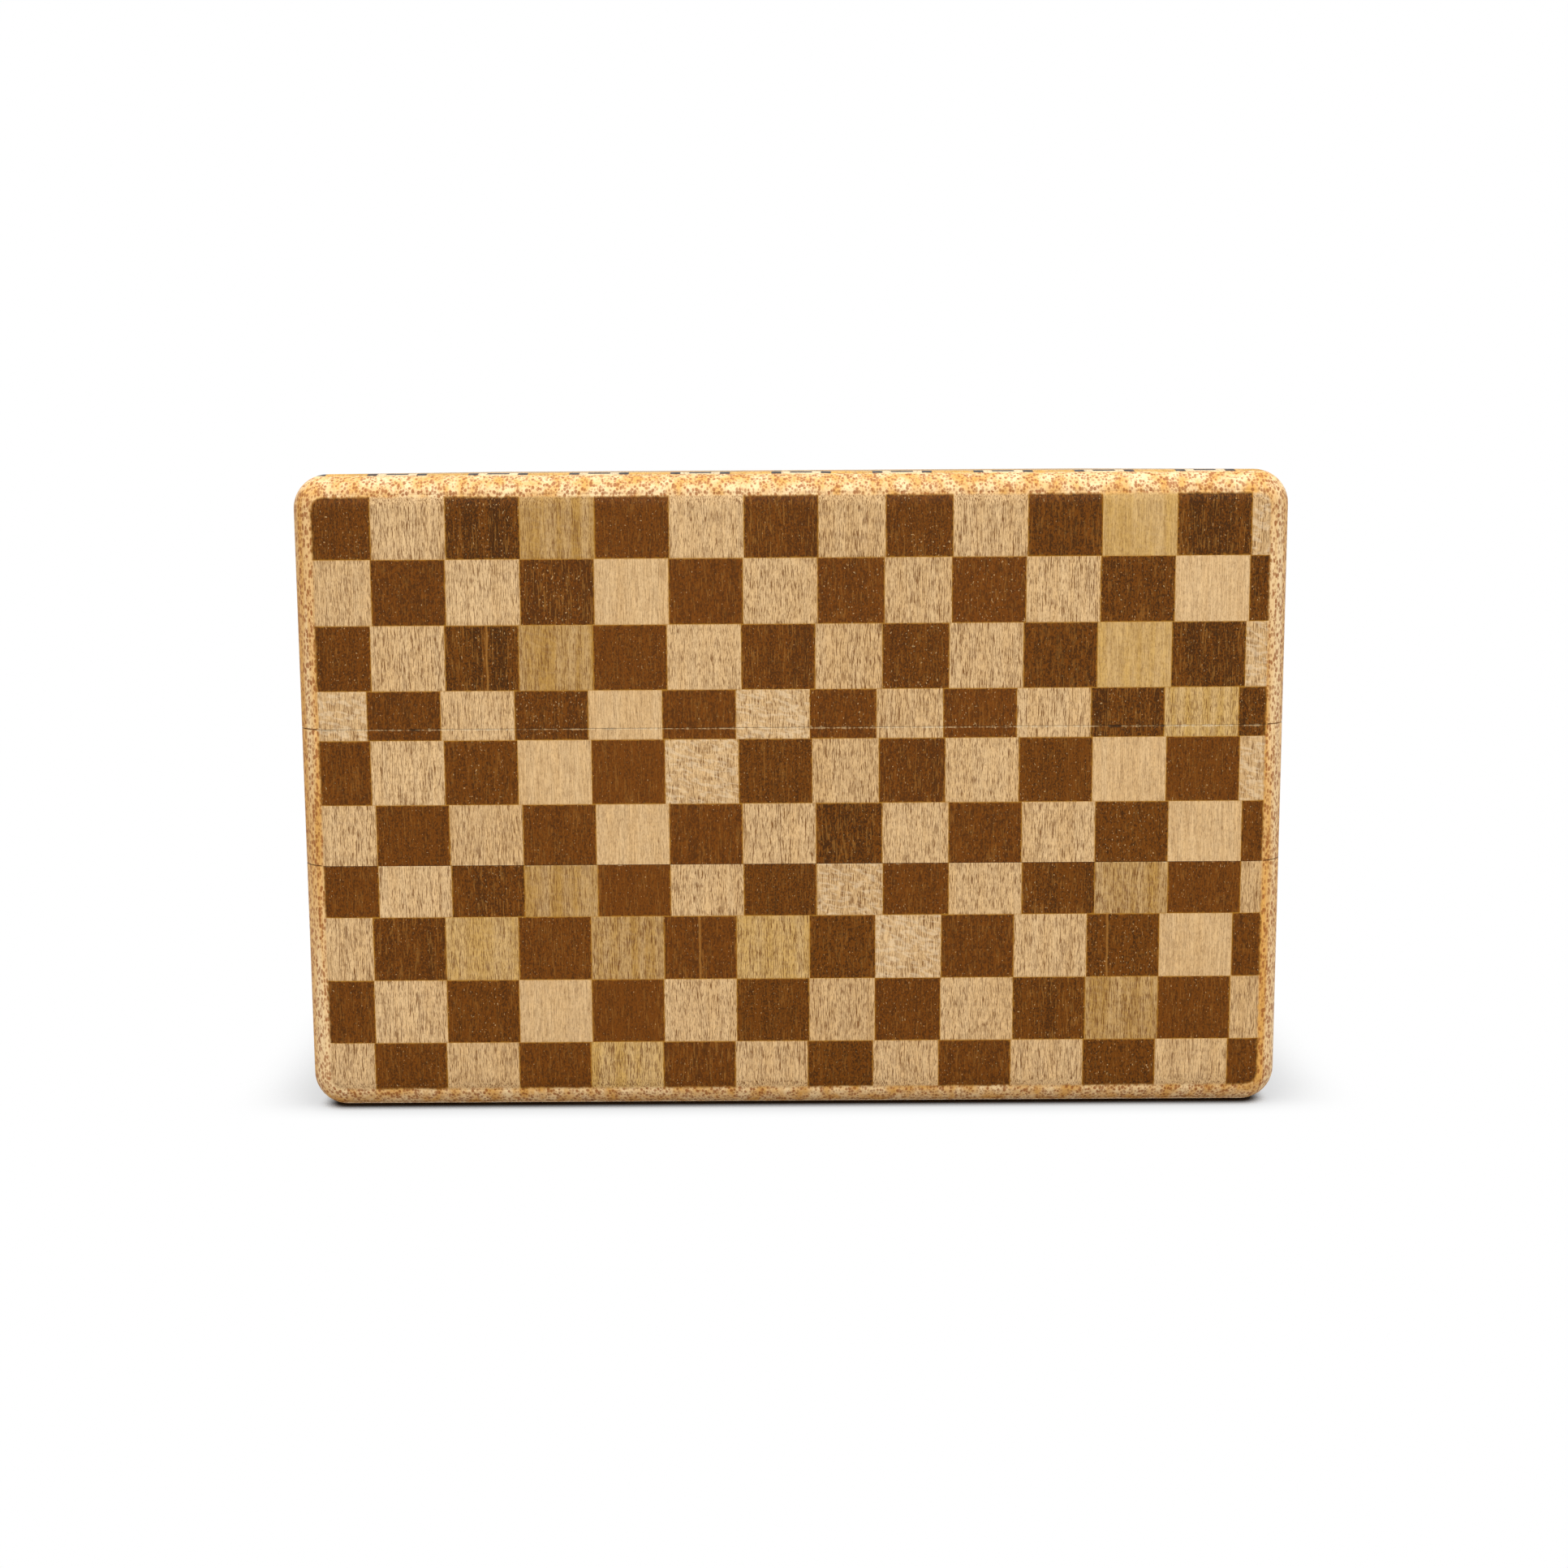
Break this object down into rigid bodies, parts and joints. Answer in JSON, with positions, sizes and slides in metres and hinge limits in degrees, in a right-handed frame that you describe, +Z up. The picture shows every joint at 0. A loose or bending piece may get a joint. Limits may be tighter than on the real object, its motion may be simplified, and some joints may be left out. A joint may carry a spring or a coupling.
{
  "type": "wooden puzzle box",
  "caption": "Oblong wooden box with checkered marquetry ends, whose interlocked end strips slide up or down to let the lid and the base slide open.",
  "frame": {"origin": "middle of the flat underside that the box rests on", "axes": "+Z up, +Y along the box from the pictured end to the other end, +X across the ends"},
  "size_m": [0.086, 0.121, 0.056],
  "materials": {
    "core_wood": "oiled pale core wood with reddish flecks",
    "dark_tile": "satin brown veneer",
    "light_tile": "satin tan veneer",
    "face_marquetry": "satin geometric marquetry veneer",
    "inner_wood": "bare planed wood"
  },
  "bodies": {
    "carcass": {"side_board_left": "core_wood", "side_board_right": "core_wood", "side_veneer_left": "face_marquetry", "side_veneer_right": "face_marquetry", "front_inner_wall": "inner_wood", "rear_inner_wall": "inner_wood", "front_rails": "inner_wood", "rear_rails": "inner_wood", "floor_board": "inner_wood"},
    "lid": {"lid_board": "core_wood", "lid_veneer": "face_marquetry", "lid_runner_left": "inner_wood", "lid_runner_right": "inner_wood", "lid_catch": "inner_wood", "lid_stop": "inner_wood", "lid_end_strip": "core_wood", "lid_end_tiles_dark": "dark_tile", "lid_end_tiles_light": "light_tile", "lid_hooks": "inner_wood"},
    "front_key": {"front_key_strip": "core_wood", "front_key_tiles_dark": "dark_tile", "front_key_tiles_light": "light_tile", "front_key_tongue": "inner_wood"},
    "front_lower": {"front_lower_strip": "core_wood", "front_lower_tiles_dark": "dark_tile", "front_lower_tiles_light": "light_tile"},
    "base": {"base_board": "core_wood", "base_veneer": "face_marquetry", "base_runner_left": "inner_wood", "base_runner_right": "inner_wood", "base_catch": "inner_wood", "base_stop": "inner_wood", "base_end_strip": "core_wood", "base_end_tiles_dark": "dark_tile", "base_end_tiles_light": "light_tile", "base_hooks": "inner_wood"},
    "rear_key": {"rear_key_strip": "core_wood", "rear_key_tiles_dark": "dark_tile", "rear_key_tiles_light": "light_tile", "rear_key_tongue": "inner_wood"},
    "rear_upper": {"rear_upper_strip": "core_wood", "rear_upper_tiles_dark": "dark_tile", "rear_upper_tiles_light": "light_tile"}
  },
  "joints": [
    {"name": "lid_slide", "type": "slide", "parent": "carcass", "child": "lid", "axis": [0, -1, 0], "range_m": [0, 0.072]},
    {"name": "front_key_drop", "type": "slide", "parent": "carcass", "child": "front_key", "axis": [0, 0, -1], "range_m": [0, 0.012]},
    {"name": "front_lower_drop", "type": "slide", "parent": "front_key", "child": "front_lower", "axis": [0, 0, -1], "range_m": [0, 0.003]},
    {"name": "base_slide", "type": "slide", "parent": "carcass", "child": "base", "axis": [0, 1, 0], "range_m": [0, 0.072]},
    {"name": "rear_key_rise", "type": "slide", "parent": "carcass", "child": "rear_key", "axis": [0, 0, 1], "range_m": [0, 0.012]},
    {"name": "rear_upper_rise", "type": "slide", "parent": "rear_key", "child": "rear_upper", "axis": [0, 0, 1], "range_m": [0, 0.003]}
  ],
  "couplings": [
    {"joint": "front_key_drop", "follows": "lid_slide", "ratio": 0.16667},
    {"joint": "rear_key_rise", "follows": "base_slide", "ratio": 0.16667}
  ]
}
